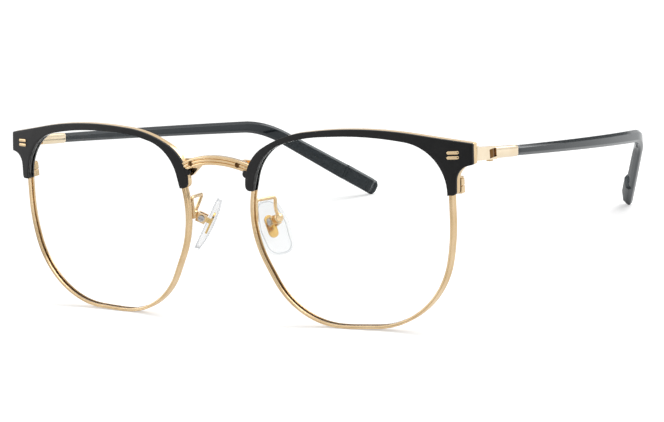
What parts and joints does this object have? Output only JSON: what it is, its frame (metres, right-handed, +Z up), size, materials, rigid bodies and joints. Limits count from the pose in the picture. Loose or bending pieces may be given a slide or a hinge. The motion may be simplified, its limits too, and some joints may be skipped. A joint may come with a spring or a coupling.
{
  "type": "browline glasses",
  "caption": "Half-framed browline glasses in gold metal and black, with clear lenses, rocking nose pads and temples that fold on screwed hinges.",
  "frame": {"origin": "on the floor, under the middle of the pair's overall box", "axes": "+X to the wearer's left, +Y from the front back to the ears, +Z up; the pair stands on its eyewires and temple tips with the temples open"},
  "size_m": [0.1462, 0.1598, 0.0511],
  "materials": {
    "gold_metal": "polished pale gold plating",
    "black_enamel": "satin black enamel",
    "black_acetate": "glossy black acetate",
    "plain_steel": "plain steel, for the wires hidden in the sleeves and the screws of the nose pads",
    "lens_clear": "clear, polished, coated against reflections",
    "pad_clear": "clear soft plastic"
  },
  "bodies": {
    "front": {"eyewire_left": "gold_metal", "eyewire_right": "gold_metal", "lens_left": "lens_clear", "lens_right": "lens_clear", "brow_cap_left": "black_enamel", "brow_cap_right": "black_enamel", "brow_bar_left": "gold_metal", "brow_bar_right": "gold_metal", "brow_rivets_left": "gold_metal", "brow_rivets_right": "gold_metal", "bridge": "gold_metal", "bridge_foot_left": "gold_metal", "bridge_foot_right": "gold_metal", "bridge_screw_left": "gold_metal", "bridge_screw_right": "gold_metal", "rim_lock_upper_left": "gold_metal", "rim_lock_upper_right": "gold_metal", "rim_lock_lower_left": "gold_metal", "rim_lock_lower_right": "gold_metal", "rim_screw_left": "gold_metal", "rim_screw_right": "gold_metal", "endpiece_left": "gold_metal", "endpiece_right": "gold_metal", "hinge_screw_left": "gold_metal", "hinge_screw_right": "gold_metal", "pad_arm_left": "gold_metal", "pad_arm_right": "gold_metal", "pad_box_left": "gold_metal", "pad_box_right": "gold_metal", "pad_screw_left": "plain_steel", "pad_screw_right": "plain_steel"},
    "temple_left": {"hinge_leaf_left": "gold_metal", "ferrule_left": "gold_metal", "temple_core_left": "plain_steel", "temple_sleeve_left": "black_acetate"},
    "pad_left": {"pad_insert_left": "gold_metal", "nose_pad_left": "pad_clear"},
    "temple_right": {"hinge_leaf_right": "gold_metal", "ferrule_right": "gold_metal", "temple_core_right": "plain_steel", "temple_sleeve_right": "black_acetate"},
    "pad_right": {"pad_insert_right": "gold_metal", "nose_pad_right": "pad_clear"}
  },
  "joints": [
    {"name": "temple_hinge_left", "type": "hinge", "parent": "front", "child": "temple_left", "pos_m": [0.07075, -0.06274, 0.04345], "axis": [0, 0, 1], "range_deg": [0, 82]},
    {"name": "temple_hinge_right", "type": "hinge", "parent": "front", "child": "temple_right", "pos_m": [-0.07075, -0.06274, 0.04345], "axis": [0, 0, -1], "range_deg": [0, 74]},
    {"name": "pad_rock_left", "type": "hinge", "parent": "front", "child": "pad_left", "pos_m": [0.0113, -0.07034, 0.02535], "axis": [0.4462, 0.8949, 0], "range_deg": [-8, 8]},
    {"name": "pad_rock_right", "type": "hinge", "parent": "front", "child": "pad_right", "pos_m": [-0.0113, -0.07034, 0.02535], "axis": [-0.4462, 0.8949, 0], "range_deg": [-8, 8]}
  ]
}
